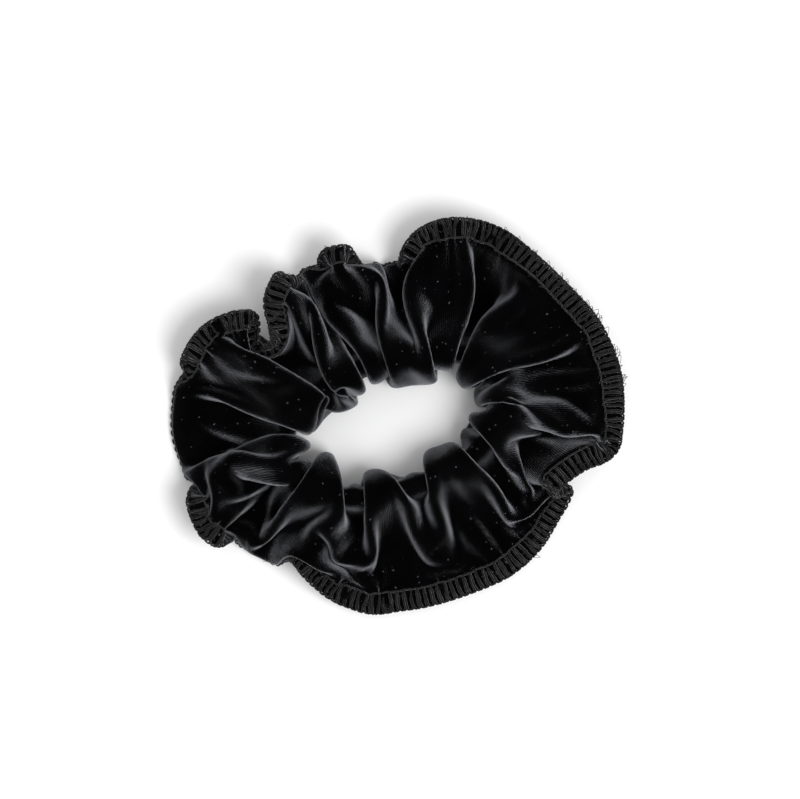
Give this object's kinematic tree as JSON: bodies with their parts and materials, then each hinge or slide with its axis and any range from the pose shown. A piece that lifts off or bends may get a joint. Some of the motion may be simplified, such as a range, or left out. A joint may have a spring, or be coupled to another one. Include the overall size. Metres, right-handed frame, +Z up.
{
  "type": "hair scrunchie",
  "caption": "Gathered black velvet hair scrunchie with an overlocked ruffled rim, a braided elastic loop inside and an oval hair opening, lying flat.",
  "frame": {"origin": "under the middle of the ring's outline, on the surface that it lies on", "axes": "+Z up from the surface, +X along the ring's longest side, with the hair opening's long axis turned 20 degrees from +X towards +Y"},
  "size_m": [0.1075, 0.0932, 0.0202],
  "materials": {
    "velvet": "black stretch knit velvet, short pile, soft sheen on fold crests",
    "sewing_thread": "black spun polyester sewing thread",
    "looper_thread": "black textured polyester looper thread, slightly fuzzy",
    "elastic_yarn": "black braided polyester yarn, matte",
    "rubber": "dark extruded latex thread, matte"
  },
  "bodies": {
    "root": {"velvet_cover": "velvet", "overlock_needle_thread": "sewing_thread", "overlock_upper_looper_thread": "looper_thread", "overlock_lower_looper_thread": "looper_thread", "end_seam_thread": "sewing_thread", "elastic_braid": "elastic_yarn", "elastic_rubber_threads": "rubber", "elastic_splice_thread": "sewing_thread"}
  },
  "joints": []
}
